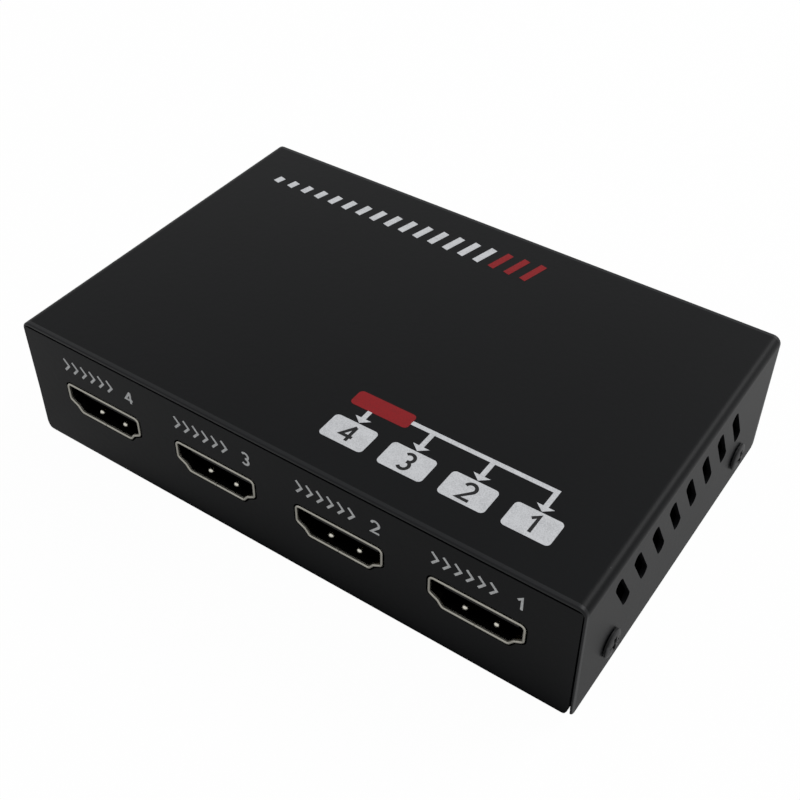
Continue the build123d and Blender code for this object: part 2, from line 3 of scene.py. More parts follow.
import bmesh
import bpy
import numpy as np
from bpy.props import FloatProperty, FloatVectorProperty, IntProperty, PointerProperty
from mathutils import Matrix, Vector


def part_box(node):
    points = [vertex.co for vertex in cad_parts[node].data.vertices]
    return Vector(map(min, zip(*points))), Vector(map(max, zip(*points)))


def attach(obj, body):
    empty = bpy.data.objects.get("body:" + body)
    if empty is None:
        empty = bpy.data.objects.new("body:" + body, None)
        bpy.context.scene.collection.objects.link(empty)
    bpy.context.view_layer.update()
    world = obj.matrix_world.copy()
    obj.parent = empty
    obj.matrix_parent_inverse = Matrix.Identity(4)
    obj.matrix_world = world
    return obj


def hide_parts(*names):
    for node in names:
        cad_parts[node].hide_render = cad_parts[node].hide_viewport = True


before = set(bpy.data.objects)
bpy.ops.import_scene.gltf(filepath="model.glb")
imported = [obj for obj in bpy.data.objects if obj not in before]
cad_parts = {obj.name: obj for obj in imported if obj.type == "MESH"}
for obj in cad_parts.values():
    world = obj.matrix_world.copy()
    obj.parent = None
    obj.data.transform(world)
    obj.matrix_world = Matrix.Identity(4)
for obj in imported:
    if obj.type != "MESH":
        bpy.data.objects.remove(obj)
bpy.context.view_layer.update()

bl_info = {
    "name": "Video splitter looks",
    "version": (1, 0, 0),
    "blender": (4, 5, 0),
    "location": "3D View > Sidebar > Splitter",
    "description": "Dresses a video splitter: coat, prints, sockets, screws, lamps and stage",
    "category": "Object",
}

MM = 0.001
BODY = "root"
OUTPUTS = ("output_1", "output_2", "output_3", "output_4")
SOCKETS = OUTPUTS + ("input",)
# Corner radii of a socket's outline, from its foot up, in millimetres.
SOCKET_CORNERS = (0.35, 0.7, 0.45, 0.5)
# Every second stroke of a print is this much thicker, so that crossing strokes share no face.
OVERPRINT = 0.004 * MM
# How far ink sinks into its face, and how narrow its points are.
SUNK = 0.002 * MM
POINT = 0.02 * MM
# For a height of 1: a number's box, its width with the stroke, its stroke in the map, and the
# depth of a chevron.
DIGIT_BOX = 0.6
DIGIT_WIDTH = 0.62
DIGIT_STROKE = 0.17
CHEVRON_DEPTH = 0.42
# Reach of a case screw behind its seat.
SHANK_LENGTH = 4 * MM
# Lamps of the rear panel: CAD node, tint, count, material slot.
LAMPS = (
    ("power_led", (0.42, 0.02, 0.015), 1, "lamp_red"),
    ("channel_leds", (0.05, 0.3, 0.07), 4, "lamp_green"),
)
# Points nearer than WELD are one, edges shorter than SLIVER go, folds over CREASE are sharp.
WELD = 0.0005 * MM
SLIVER = 0.0002 * MM
CREASE = math.radians(35.0)
# Half the side of the square floor, and the corners of a square of half side 1.
FLOOR_HALF = 3.0
SQUARE = ((-1, -1), (1, -1), (1, 1), (-1, 1))
# The camera's sensor in millimetres, and how near it sees in metres.
SENSOR = 36.0
NEAR_CLIP = 0.01
# The one soft lamp: place and size in metres, and watts.
LAMP_SPOT = (0.45, 0.6, 0.75)
LAMP_SIZE = 0.6
LAMP_POWER = 7.0


def length(name, description, default_mm):
    """A size that the sidebar shows as a length. The default is given in millimetres."""
    return FloatProperty(name=name, description=description, default=default_mm * MM, unit="LENGTH")


def degrees(name, description, default_deg):
    """An angle. The default is given in degrees."""
    return FloatProperty(
        name=name, description=description, default=math.radians(default_deg), subtype="ANGLE"
    )


def colour(name, description, default):
    """A linear colour that the sidebar shows as a swatch."""
    return FloatVectorProperty(
        name=name, description=description, default=default, subtype="COLOR", size=3, min=0, max=1
    )


def share(name, description, default):
    """A number from 0 to 1, such as a roughness."""
    return FloatProperty(name=name, description=description, default=default, min=0, max=1)


class SplitterFinish(bpy.types.PropertyGroup):
    """Colours and gloss of the case and its metal."""

    coat: colour("Coat", "Powder coat of the case", (0.0026, 0.0029, 0.0034))
    coat_roughness: share("Coat roughness", "How matt the powder coat is", 0.42)
    coat_gloss: share("Coat gloss", "Reflection of the coat seen straight on", 0.08)
    nickel: colour("Nickel", "Shells of the sockets", (0.36, 0.35, 0.31))
    gold: colour("Gold", "Contacts of the sockets", (0.83, 0.62, 0.25))
    screw: colour("Screw", "Blackened screws of the case", (0.02, 0.02, 0.021))
    ink_white: colour("White ink", "Light prints on the cover", (0.57, 0.58, 0.6))
    ink_grey: colour("Grey ink", "Prints over the sockets", (0.5, 0.51, 0.515))
    ink_red: colour("Red ink", "Red prints on the cover", (0.22, 0.004, 0.007))
    laminate: colour("Laminate", "Solder mask of the board", (0.01, 0.075, 0.035))


class SplitterEdge(bpy.types.PropertyGroup):
    """Sizes of the cover's rounded edges over the panels."""

    bend: length("Bend", "Outer radius of the cover's bends", 1.4)
    top: length("Top", "Thickness of the edge over a panel", 0.55)
    side: length("Side", "Thickness of the edge beside a panel", 0.3)
    setback: length("Setback", "From the panel's face back to the edge", 0.03)
    round: length("Round", "Radius of the edge's outer corner", 0.22)
    inner_round: length("Inner round", "Radius of the edge's inner corner", 0.07)
    foot_round: length("Foot round", "Radius of the edge's lower corner", 0.95)
    lean: length("Lean", "How far the edge falls back at the bottom", 0.3)
    cover_lean: length("Cover's lean", "How far the cover's side falls back at the bottom", 0.6)
    cover_inset: length("Cover's inset", "From the panel's face back to the cover", 0.75)


class SplitterSocket(bpy.types.PropertyGroup):
    """Sizes of a socket's metal shell."""

    inner_width: length("Inner width", "Inside of the shell across", 14.0)
    inner_height: length("Inner height", "Inside of the shell, low to high", 4.55)
    side_height: length("Side height", "Straight part of each side", 2.8)
    foot_width: length("Foot width", "Flat bottom of the shell", 9.95)
    step_in: share("Step in", "Where the slanted side bends, across", 0.64)
    step_down: share("Step down", "Where the slanted side bends, downwards", 0.44)
    wall: length("Wall", "Thickness of the sheet", 0.3)
    lip: length("Lip", "Flare of the rim beyond the wall", 0.1)
    seam: length("Seam", "Gap between the folded ends", 0.06)
    spring_pitch: length("Spring pitch", "From one spring to the other", 4.9)
    spring_depth: length("Spring depth", "From the rim to the top of a dimple", 1.85)
    leg_first: length("First leg", "From the rim to the middle of the first leg", 3.6)
    leg_pitch: length("Leg pitch", "From the first leg to the second", 5.2)
    leg_width: length("Leg width", "Width of a leg", 1.5)
    dimple_radius: length("Dimple radius", "Size of a spring's dimple", 0.52)
    dimple_height: length("Dimple height", "Height of a spring's dimple", 0.5)


class SplitterScrew(bpy.types.PropertyGroup):
    """Sizes of the case's screws."""

    head_radius: length("Head radius", "Radius of the low round head", 2.2)
    head_height: length("Head height", "Height of the head", 0.65)
    edge_height: length("Edge height", "Upright edge of the head", 0.3)
    recess_span: length("Recess span", "End to end of the cross recess", 2.8)
    recess_width: length("Recess width", "Width of one arm of the cross", 0.8)
    recess_depth: length("Recess depth", "Depth of the cross recess", 0.5)
    recess_wall: length("Recess wall", "Width of the recess's sloping wall", 0.12)
    recess_taper: share("Recess taper", "Steepness of an arm's end beside its sides", 0.6)
    shank_radius: length("Shank radius", "Outer radius of the thread", 1.5)
    thread_pitch: length("Thread pitch", "Rise of the thread in a turn", 0.5)
    thread_depth: length("Thread depth", "Depth of the thread", 0.27)


class SplitterPrint(bpy.types.PropertyGroup):
    """Sizes of the printed marks."""

    ink: length("Ink", "Thickness of the ink", 0.02)
    label_low: length("Label foot", "From the middle of a socket up to the numbers", 5.4)
    label_height: length("Label height", "Height of the numbers", 2.2)
    label_stroke: length("Label stroke", "Width of a stroke of the labels", 0.38)
    label_half_width: length("Label half width", "Half the length of a label", 6.9)
    chevrons: IntProperty(name="Chevrons", description="Chevrons before each number", default=6)
    chevron_pitch: length("Chevron pitch", "From one chevron to the next", 1.75)
    map_left: length("Map's left", "From the cover's middle to the port map", 3.2)
    map_front: length("Map's front", "From the front panel to the port map", 6.2)
    map_depth: length("Map depth", "Front to rear of the port map", 10.4)
    map_pitch: length("Map pitch", "From one box to the next", 9.6)
    map_stroke: length("Map stroke", "Width of the map's lines", 0.75)
    map_digit: length("Map number", "Height of the numbers in the boxes", 3.0)
    box_width: length("Box width", "Width of a box of the map", 7.2)
    box_height: length("Box height", "Front to rear of a box of the map", 4.6)
    box_corner: length("Box corner", "Radius of the corners of boxes and block", 0.7)
    feed_width: length("Feed width", "Width of the red block", 9.6)
    feed_height: length("Feed height", "Front to rear of the red block", 3.0)
    arrow_length: length("Arrow length", "Length of an arrow's head", 1.2)
    arrow_width: length("Arrow width", "Width of an arrow's head", 2.64)
    arrow_gap: length("Arrow gap", "From an arrow's point to its box", 0.15)
    bars: IntProperty(name="Bars", description="Bars in the rear row", default=18)
    red_bars: IntProperty(name="Red bars", description="How many of the bars are red", default=3)
    bars_left: length("Bars' left", "From the cover's middle to the first bar", -40.6)
    bars_right: length("Bars' right", "From the cover's middle to the last bar", 8.8)
    bars_front: length("Bars' front", "From the front panel to the bars", 52.0)
    bar_width: length("Bar width", "Width of a bar", 1.2)
    bar_least: length("Least bar", "Front to rear of the first bar", 1.6)
    bar_most: length("Longest bar", "Front to rear of the last bar", 5.0)
    bar_lean: share("Bar lean", "Sideways lean of a bar for its length", 0.25)


class SplitterStage(bpy.types.PropertyGroup):
    """Camera and light."""

    azimuth: degrees("Azimuth", "Camera's turn to the right of the front", 33.933)
    elevation: degrees("Elevation", "Camera's height over the floor", 41.489)
    roll: degrees("Roll", "Camera's tilt", 0.557)
    distance: length("Distance", "From the middle of the case to the camera", 193.13)
    lens: FloatProperty(name="Lens", description="Focal length on a 36 mm sensor", default=55.704)
    slide: FloatVectorProperty(
        name="Slide", description="Case's middle from the camera's axis", size=2,
        default=(-0.267 * MM, -1.838 * MM), unit="LENGTH",
    )
    shift: FloatVectorProperty(
        name="Shift", description="Shift of the picture", size=2, default=(-0.0021, -0.0336)
    )
    surround: FloatProperty(name="Surround", description="Even light of the room", default=0.5)


class Wire:
    """One output of a node. Sums, differences and products with numbers add Math nodes."""

    def __init__(self, nodes, socket):
        self.nodes, self.socket = nodes, socket

    def math(self, operation, first, second=0.0):
        return self.nodes.node("ShaderNodeMath", {"operation": operation}, {0: first, 1: second})

    def __add__(self, other):
        return self.math("ADD", self, other)

    def __sub__(self, other):
        return self.math("SUBTRACT", self, other)

    def __rsub__(self, other):
        return self.math("SUBTRACT", other, self)

    def __mul__(self, other):
        return self.math("MULTIPLY", self, other)

    def __abs__(self):
        return self.math("ABSOLUTE", self)

    def larger(self, other):
        return self.math("MAXIMUM", self, other)

    __radd__, __rmul__ = __add__, __mul__


class Nodes:
    """A node tree under construction."""

    def __init__(self, tree):
        self.tree = tree

    def feed(self, socket, value):
        """Sets a socket to a number or a colour, or links a wire to it."""
        if isinstance(value, Wire):
            self.tree.links.new(value.socket, socket)
        elif socket.type == "RGBA" and len(value) == 3:
            socket.default_value = (*value, 1.0)
        else:
            socket.default_value = value

    def node(self, kind, settings, inputs, output=0):
        """Adds a node: its settings first, then the values or wires of its sockets."""
        made = self.tree.nodes.new(kind)
        for key, value in settings.items():
            setattr(made, key, value)
        for key, value in inputs.items():
            self.feed(made.inputs[key], value)
        return Wire(self, made.outputs[output])

    def place(self, scale=(1.0, 1.0, 1.0)):
        """Object coordinates in millimetres, stretched by scale."""
        at = self.node("ShaderNodeTexCoord", {}, {}, "Object")
        return self.node(
            "ShaderNodeMapping", {"vector_type": "POINT"},
            {"Vector": at, "Scale": [s / MM for s in scale]},
        )

    def part_of(self, vector, axis):
        """One of a vector's three numbers."""
        return self.node("ShaderNodeSeparateXYZ", {}, {"Vector": vector}, axis)

    def noise(self, at, size_mm, detail=2.0, roughness=0.5):
        """Cloudy noise from 0 to 1, with blobs of about size_mm."""
        return self.node(
            "ShaderNodeTexNoise", {},
            {"Vector": at, "Scale": 1 / size_mm, "Detail": detail, "Roughness": roughness},
        )

    def cells(self, at, size_mm):
        """Distance to the nearest of points scattered size_mm apart."""
        return self.node("ShaderNodeTexVoronoi", {}, {"Vector": at, "Scale": 1 / size_mm})

    def step(self, value, low, high):
        """Smooth step: 0 below low, 1 above high (or the reverse where high is lower)."""
        return self.node(
            "ShaderNodeMapRange", {"interpolation_type": "SMOOTHSTEP"},
            {"Value": value, "From Min": low, "From Max": high},
        )

    def blend(self, share_of_second, first, second):
        """Mix of two colours."""
        return self.node(
            "ShaderNodeMix", {"data_type": "RGBA"},
            {0: share_of_second, 6: first, 7: second}, 2,
        )

    def seen_rays(self):
        """1 or 0 for camera, glossy and transmitted rays, apart from those that light things."""
        return [
            self.node("ShaderNodeLightPath", {}, {}, kind)
            for kind in ("Is Camera Ray", "Is Glossy Ray", "Is Transmission Ray")
        ]


class Shader(Nodes):
    """A material under construction, with its Principled shader."""

    def __init__(self, name, **constants):
        self.material = bpy.data.materials.new(name)
        self.material.use_nodes = True
        super().__init__(self.material.node_tree)
        self.surface = self.tree.nodes["Principled BSDF"]
        for socket, value in constants.items():
            self.set(socket.replace("_", " ").title().replace("Ior", "IOR"), value)

    def set(self, socket, value):
        """Feeds one socket of the Principled shader, by its name."""
        self.feed(self.surface.inputs[socket], value)

    def bump(self, height_mm):
        """Feeds a height in millimetres to the surface's normal."""
        inputs = {"Height": height_mm, "Distance": MM}
        self.set("Normal", self.node("ShaderNodeBump", {}, inputs, "Normal"))


def tint(values, factor):
    """A colour made lighter or darker by one factor."""
    return [min(1.0, v * factor) for v in values]


def powder_coat(finish, name="powder_coat", gloss=1.0, lift=1.0):
    """Semi-matt powder coat: soft orange peel, fine grain, faint clouding, a few dust specks.

    Gloss and lift multiply the coat's reflection and its colour; raised above 1 they make a lit
    copy of the coat, a painted highlight.
    """
    coat = Shader(name, Specular_IOR_Level=finish.coat_gloss * gloss)
    at = coat.place()
    peel, grain = coat.noise(at, 0.9, 1.0), coat.noise(at, 0.16, 2.0)
    cloud = coat.noise(at, 26.0, 3.0, 0.6)
    speck = coat.step(coat.cells(at, 7.0), 0.022, 0.012) * coat.step(cloud, 0.46, 0.6)
    shade = coat.blend(cloud, tint(finish.coat, 0.8 * lift), tint(finish.coat, 1.25 * lift))
    coat.set("Base Color", coat.blend(speck * 0.5, shade, (0.16, 0.16, 0.16)))
    coat.set("Roughness", finish.coat_roughness - 0.04 + grain * 0.06 + cloud * 0.03 + speck * 0.3)
    coat.bump(peel * 0.012 + grain * 0.006 + speck * 0.01)
    return coat.material


def blackened_steel(finish, middle, half_gap, width, span):
    """Black plated screw steel: worn high spots over a fine tooth, and painted shade, near black,
    inside each cross.

    The screws' axes lie half_gap along y to both sides of middle (y, z), all in mm, and a
    cross has two arms of this width and this span from end to end.
    """
    steel = Shader("blackened_steel", Specular_IOR_Level=0.4)
    at = steel.place()
    tooth, wear = steel.noise(at, 0.12, 2.0), steel.step(steel.noise(at, 0.8, 3.0), 0.55, 0.75)
    along = abs(abs(steel.part_of(at, 1) - middle[0]) - half_gap)
    up = abs(steel.part_of(at, 2) - middle[1])

    def inside(value, size):
        return steel.step(value, size / 2, size / 2 - 0.08)

    # Painted shade: inside the arms of each cross the steel turns near black, for the shade in the
    # recess.
    recess_shade = (inside(along, width) * inside(up, span)).larger(inside(up, width) * inside(along, span))
    worn = steel.blend(wear * 0.4, finish.screw, tint(finish.screw, 4.0))
    steel.set("Base Color", steel.blend(recess_shade, worn, (0.0004, 0.0004, 0.0004)))
    steel.set("Metallic", recess_shade * 0.4 + 0.6)
    steel.set("Roughness", 0.46 - wear * 0.12 + tooth * 0.08)
    steel.bump(tooth * 0.006)
    return steel.material


def rolled_metal(name, base, roughness, stretch=(1.0, 1.0, 1.0)):
    """Plated sheet metal: fine rolling lines, soft staining and a rough cut tooth."""
    metal = Shader(name, Metallic=1.0)
    at, along = metal.place(), metal.place(stretch)
    line, stain = metal.noise(along, 0.2, 3.0), metal.noise(at, 2.4, 2.0)
    metal.set("Base Color", metal.blend(stain, tint(base, 0.82), tint(base, 1.1)))
    metal.set("Roughness", roughness + line * 0.12 + stain * 0.08 - 0.1)
    metal.bump(line * 0.004)
    return metal.material


def socket_nickel(finish, rim_y):
    """Nickel of a socket's shell: satin at the rim, smooth and darkened farther in by painted
    shade.
    """
    metal = Shader("shell_nickel", Metallic=1.0)
    at = metal.place()
    line, stain = metal.noise(metal.place((1.0, 0.15, 1.0)), 0.2, 3.0), metal.noise(at, 2.4, 2.0)
    depth = rim_y / MM - abs(metal.part_of(at, 1))
    # Painted shade: past the rim the nickel is blended towards near black, for the shade inside the
    # socket.
    inside = metal.step(depth, 0.25, 0.6)
    bright = metal.blend(stain, tint(finish.nickel, 0.86), tint(finish.nickel, 1.1))
    # This near-black copy of the nickel is painted shade, not a colour of the metal.
    metal.set("Base Color", metal.blend(inside, bright, tint(finish.nickel, 0.05)))
    metal.set("Roughness", 0.3 + line * 0.1 + stain * 0.06 - inside * 0.2)
    metal.bump(line * 0.004)
    return metal.material


def moulding(name, base, roughness, gloss=0.35, grain_mm=0.3):
    """Moulded plastic or resin: a spark-eroded grain and slight flow clouds."""
    plastic = Shader(name, Specular_IOR_Level=gloss)
    at = plastic.place()
    grain, cloud = plastic.noise(at, grain_mm, 2.0), plastic.noise(at, 5.0, 2.0)
    plastic.set("Base Color", plastic.blend(cloud, tint(base, 0.85), tint(base, 1.15)))
    plastic.set("Roughness", roughness + grain * 0.12 - 0.06)
    plastic.bump(grain * 0.01)
    return plastic.material


def foot_rubber():
    """Moulded rubber: matt, with fine pores."""
    rubber = Shader("foot_rubber", Specular_IOR_Level=0.25)
    at = rubber.place()
    pore = rubber.step(rubber.cells(at, 0.35), 0.3, 0.1)
    dust = rubber.noise(at, 3.0, 3.0)
    rubber.set("Base Color", rubber.blend(dust, (0.012, 0.012, 0.012), (0.03, 0.03, 0.029)))
    rubber.set("Roughness", 0.75 + dust * 0.15)
    rubber.bump(pore * -0.02)
    return rubber.material


def board_laminate(finish):
    """Solder mask over copper: traces as raised, lighter bands in two directions."""
    board = Shader("board_laminate", Coat_Roughness=0.15)
    at = board.place()
    weave = board.noise(at, 0.5, 1.0)
    run, turn = board.place((0.16, 1.0, 1.0)), board.place((1.0, 0.16, 1.0))
    across = board.step(board.noise(run, 0.9, 1.0), 0.55, 0.58)
    trace = across.larger(board.step(board.noise(turn, 0.9, 1.0), 0.58, 0.61))
    board.set("Base Color", board.blend(trace, finish.laminate, tint(finish.laminate, 2.1)))
    board.set("Roughness", 0.3 + weave * 0.08)
    board.set("Coat Weight", 0.4 - trace * 0.1)
    board.bump(trace * 0.03 + weave * 0.004)
    return board.material


def lamp_resin(name, tinted):
    """Tinted clear resin of an unlit lamp, with a patchy haze."""
    resin = Shader(name, Transmission_Weight=0.35, IOR=1.5)
    haze = resin.noise(resin.place(), 1.2, 2.0)
    resin.set("Base Color", resin.blend(haze, tint(tinted, 0.8), tint(tinted, 1.2)))
    resin.set("Roughness", 0.16 + haze * 0.1)
    return resin.material


def screen_ink(name, base):
    """Screen-printed ink: slightly uneven, with the mesh's faint texture."""
    ink = Shader(name, Specular_IOR_Level=0.2)
    at = ink.place()
    mesh, patch = ink.noise(at, 0.14, 1.0), ink.noise(at, 1.6, 3.0)
    cover = ink.step(mesh * 0.7 + patch * 0.3, 0.3, 0.62)
    ink.set("Base Color", ink.blend(cover, tint(base, 0.78), tint(base, 1.06)))
    ink.set("Roughness", 0.5 + mesh * 0.12)
    ink.bump(mesh * 0.004)
    return ink.material


def box_of(node):
    """Low and high corner of a CAD node's box."""
    return [np.array(corner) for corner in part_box(node)]


def add_object(name, data):
    """Links a new object with this data to the scene."""
    made = bpy.data.objects.new(name, data)
    bpy.context.scene.collection.objects.link(made)
    return made


def tube_faces(rows, columns):
    """Quads between the points of a grid, as indices, each row closed into a ring."""
    row, column = np.arange(rows - 1)[:, None], np.arange(columns)[None, :]
    following = (column + 1) % columns
    corners = (
        row * columns + column, row * columns + following,
        (row + 1) * columns + following, (row + 1) * columns + column,
    )
    return np.stack(corners, axis=-1).reshape(-1, 4)


def build_piece(name, grids, material, replaces=()):
    """One mesh object from several grids of points, each an array of rows x columns x 3.

    Each row of a grid is a closed ring, and a flat cap closes the grid at both ends.
    """
    faces, caps, first = [], [], 0
    for grid in grids:
        rows, columns = grid.shape[:2]
        faces.append(tube_faces(rows, columns) + first)
        ring = np.arange(columns) + first
        caps += [ring.tolist(), (ring + (rows - 1) * columns)[::-1].tolist()]
        first += rows * columns
    points = np.concatenate([grid.reshape(-1, 3) for grid in grids])
    mesh = bpy.data.meshes.new(name)
    mesh.from_pydata(points, [], np.concatenate(faces).tolist() + caps)
    work = bmesh.new()
    work.from_mesh(mesh)
    bmesh.ops.remove_doubles(work, verts=work.verts, dist=WELD)
    bmesh.ops.dissolve_degenerate(work, edges=work.edges, dist=SLIVER)
    bmesh.ops.recalc_face_normals(work, faces=work.faces)
    work.to_mesh(mesh)
    work.free()
    mesh.shade_smooth()
    mesh.set_sharp_from_angle(angle=CREASE)
    mesh.materials.append(material)
    piece = add_object(name, mesh)
    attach(piece, BODY)
    if replaces:
        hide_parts(*replaces)


def coat_nodes(material, *names):
    """Gives a material to CAD nodes, which keep their shape."""
    for name in names:
        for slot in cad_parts[name].material_slots:
            slot.material = material


def unit_ring(side, other, turns):
    """Directions cos a side + sin a other, for a from 0 to 360 degrees."""
    angle = np.linspace(0, math.tau, turns, endpoint=False)[:, None]
    return np.cos(angle) * side + np.sin(angle) * other


def spun(profile, origin, axis, turns=48):
    """Surface of revolution: profile rows (radius, height) turned about axis through origin.

    Point = origin + radius (cos a side + sin a other) + height axis, for a from 0 to 360 degrees.
    """
    side = np.cross(axis, (0.0, 0.0, 1.0) if abs(axis[2]) < 0.5 else (1.0, 0.0, 0.0))
    side = side / np.linalg.norm(side)
    ring = unit_ring(side, np.cross(axis, side), turns)
    return profile[:, :1, None] * ring + profile[:, 1:, None] * axis + origin


def ribbon(path, width, low, top, place):
    """Flat strip of ink: a path carried with a thin rectangle, from low to top, as its profile.

    At each point the strip reaches half its width to both sides along the mitre, the mean
    normal of the two runs over the cosine of half their turn, at most twice the half width.
    """
    path = np.asarray(path, float)
    run = np.diff(path, axis=0)
    run = run / np.linalg.norm(run, axis=1, keepdims=True)
    after = np.vstack([run, run[-1:]])
    mean = np.vstack([run[:1], run]) + after
    mean = mean / np.maximum(np.linalg.norm(mean, axis=1, keepdims=True), 1e-9)
    turn = np.maximum((mean * after).sum(axis=1), 0.5)
    half = np.broadcast_to(np.asarray(width, float) / 2, len(path)) / turn
    across = np.stack([-mean[:, 1], mean[:, 0]], axis=1) * half[:, None]
    corners = [
        place(path + across, low), place(path + across, top),
        place(path - across, top), place(path - across, low),
    ]
    return np.stack(corners, axis=1)


def print_strips(name, drawn, ink, place, layer=0):
    """One printed piece from strips, each (path, widths). Layer 1 lies on layer 0."""
    thick = bpy.context.scene.splitter_print.ink
    low, top = layer * thick - SUNK, (layer + 1) * thick
    grids = [
        ribbon(path, width, low, top + i % 2 * OVERPRINT, place)
        for i, (path, width) in enumerate(drawn)
    ]
    build_piece(name, grids, ink)


def face_place(origin, right, up, out):
    """Maps a flat drawing onto a face of the case."""
    origin, right, up, out = (np.asarray(v, float) for v in (origin, right, up, out))

    def place(flat, height):
        return origin + flat[:, :1] * right + flat[:, 1:] * up + height * out

    return place


def arc(centre, radius, start_deg, end_deg, count=16):
    """Points of an arc in a flat drawing."""
    angle = np.radians(np.linspace(start_deg, end_deg, count))
    return np.stack([centre[0] + radius * np.cos(angle), centre[1] + radius * np.sin(angle)], 1)


def filled_bar(low, high, middle, height, radius, samples=7):
    """Path and widths of a filled bar with round corners.

    At a distance radius (1 - cos a) from either end the half width is
    height / 2 - radius + radius sin a, for a from 0 to 90 degrees.
    """
    turn = np.linspace(0, math.pi / 2, samples)
    inwards = radius * (1 - np.cos(turn))
    widths = np.maximum(height - 2 * radius + 2 * radius * np.sin(turn), POINT)
    across = np.concatenate([low + inwards, high - inwards[::-1]])
    path = np.stack([across, np.full(len(across), middle)], axis=1)
    return path, np.concatenate([widths, widths[::-1]])


def digit_strokes(digit):
    """Strokes of a plain number in a box 0.6 wide and 1 high."""
    return {
        1: [[(0.12, 0.76), (0.4, 1.0), (0.4, 0.0)]],
        2: [np.vstack([arc((0.3, 0.72), 0.28, 165, -38), [(0.02, 0.0), (0.6, 0.0)]])],
        3: [arc((0.28, 0.745), 0.255, 145, -90), arc((0.28, 0.26), 0.26, 90, -145)],
        4: [[(0.44, 0.0), (0.44, 0.98)], [(0.44, 1.0), (0.0, 0.3), (0.62, 0.3)]],
    }[digit]


def socket_outline(sizes, grow, samples=7):
    """Outline of a socket's opening, from the seam round to the seam, grown evenly.

    A polygon with rounded corners: each corner gives an arc of samples points about a centre
    that lies radius / cos(half the turn) along the corner's bisector. Growing the outline
    adds to the radius of the outward corners and takes from that of the inward ones.
    """
    half_w, half_h = sizes.inner_width / 2, sizes.inner_height / 2
    side_end = half_h - sizes.side_height
    step = (
        half_w - sizes.step_in * (half_w - sizes.foot_width / 2),
        side_end - sizes.step_down * (side_end + half_h),
    )
    right = np.array([
        (sizes.foot_width / 2, -half_h), step, (half_w, side_end), (half_w, half_h)
    ])
    spot = np.vstack([right, right[::-1] * (-1, 1)])
    radius = np.array(SOCKET_CORNERS + SOCKET_CORNERS[::-1]) * MM
    ahead = np.roll(spot, -1, axis=0) - spot
    ahead = ahead / np.linalg.norm(ahead, axis=1, keepdims=True)
    behind = np.roll(ahead, 1, axis=0)
    turn = np.arctan2(
        behind[:, 0] * ahead[:, 1] - behind[:, 1] * ahead[:, 0], (behind * ahead).sum(axis=1)
    )
    sign = np.sign(turn)
    inward = ahead - behind
    inward = inward / np.linalg.norm(inward, axis=1, keepdims=True)
    centre = spot + inward * (radius / np.cos(turn / 2))[:, None]
    start = np.arctan2(behind[:, 1], behind[:, 0]) - sign * math.pi / 2
    angle = start[:, None] + turn[:, None] * np.linspace(0, 1, samples)
    reach = (radius + sign * grow)[:, None]
    around = np.stack(
        [centre[:, :1] + reach * np.cos(angle), centre[:, 1:] + reach * np.sin(angle)], axis=2
    ).reshape(-1, 2)
    seam = sizes.seam / 2
    low = -half_h - grow
    return np.vstack([[(seam, low)], around, [(-seam, low)]])


def shell_wall(sizes, mouth, depth):
    """Wall of a socket's shell: its outline carried along a section with a rounded, flared rim.

    The section runs along the outside from the back, round the rim in a half circle, and back
    along the inside. The outline is grown by the section's distance from the inner face.
    """
    wall, lip = sizes.wall, sizes.lip
    rim = np.linspace(0, math.pi, 9)[1:-1]
    share_out = np.linspace(0, 1, 4)[1:]
    grow = np.concatenate([
        [wall, wall], wall + lip * share_out**2,
        (wall + lip) / 2 + (wall + lip) / 2 * np.cos(rim), [0.0, 0.0],
    ])
    flare = 3 * wall
    back = np.concatenate([
        [depth, flare], flare - (flare - wall / 2) * share_out,
        wall / 2 - wall / 2 * np.sin(rim), [wall / 2, depth],
    ])
    loops = [mouth(socket_outline(sizes, g), -b) for g, b in zip(grow, back)]
    return np.stack(loops, axis=1)


def spring_dimple(sizes, mouth, side):
    """Dimple of a contact spring: a spherical cap on the bottom wall, sunk a little into it."""
    radius, height = sizes.dimple_radius, sizes.dimple_height
    ball = (radius**2 + height**2) / (2 * height)
    tilt = np.linspace(math.asin(min(1.0, radius / ball)), 0.0, 8)
    floor = -sizes.inner_height / 2
    origin = mouth(np.array([[side * sizes.spring_pitch / 2, floor]]), -sizes.spring_depth)[0]
    rise = ball * np.cos(tilt) - (ball - height)
    profile = np.stack([ball * np.sin(tilt), rise], axis=1)
    profile = np.vstack([[(profile[0, 0], -sizes.wall / 2)], profile])
    return spun(profile, origin, (0, 0, 1), 24)


def shell_leg(sizes, mouth, side, at, drop):
    """Leg of a shell: a strip of the side wall that narrows to its tip."""
    down = -drop * np.array([0.0, 0.75, 1.0])
    half = sizes.leg_width / 2 * np.array([1.0, 1.0, 0.55])
    inner = sizes.inner_width / 2
    outer = inner + sizes.wall
    rows = []
    for across, along in ((inner, -1), (outer, -1), (outer, 1), (inner, 1)):
        flat = np.stack([np.full(3, side * across), down], axis=1)
        rows.append(mouth(flat, -(at + along * half)[:, None]))
    return np.stack(rows, axis=1)


def socket_place(name, face_y, lift, out):
    """Maps a flat drawing to a panel at face_y, from a lift over the middle of a socket."""
    sizes = bpy.context.scene.splitter_socket
    low, high = box_of(f"{name}_shell")
    height = high[2] - sizes.wall - sizes.inner_height / 2 + lift
    return face_place(((low[0] + high[0]) / 2, face_y, height), (1, 0, 0), (0, 0, 1), (0, out, 0))


def socket_mouth(name):
    """Maps (across, up) and a distance out of the case to a place at a socket's rim."""
    low, high = box_of(f"{name}_shell")
    rim_y, out = (high[1], 1.0) if name == "input" else (low[1], -1.0)
    return socket_place(name, rim_y, 0.0, out)


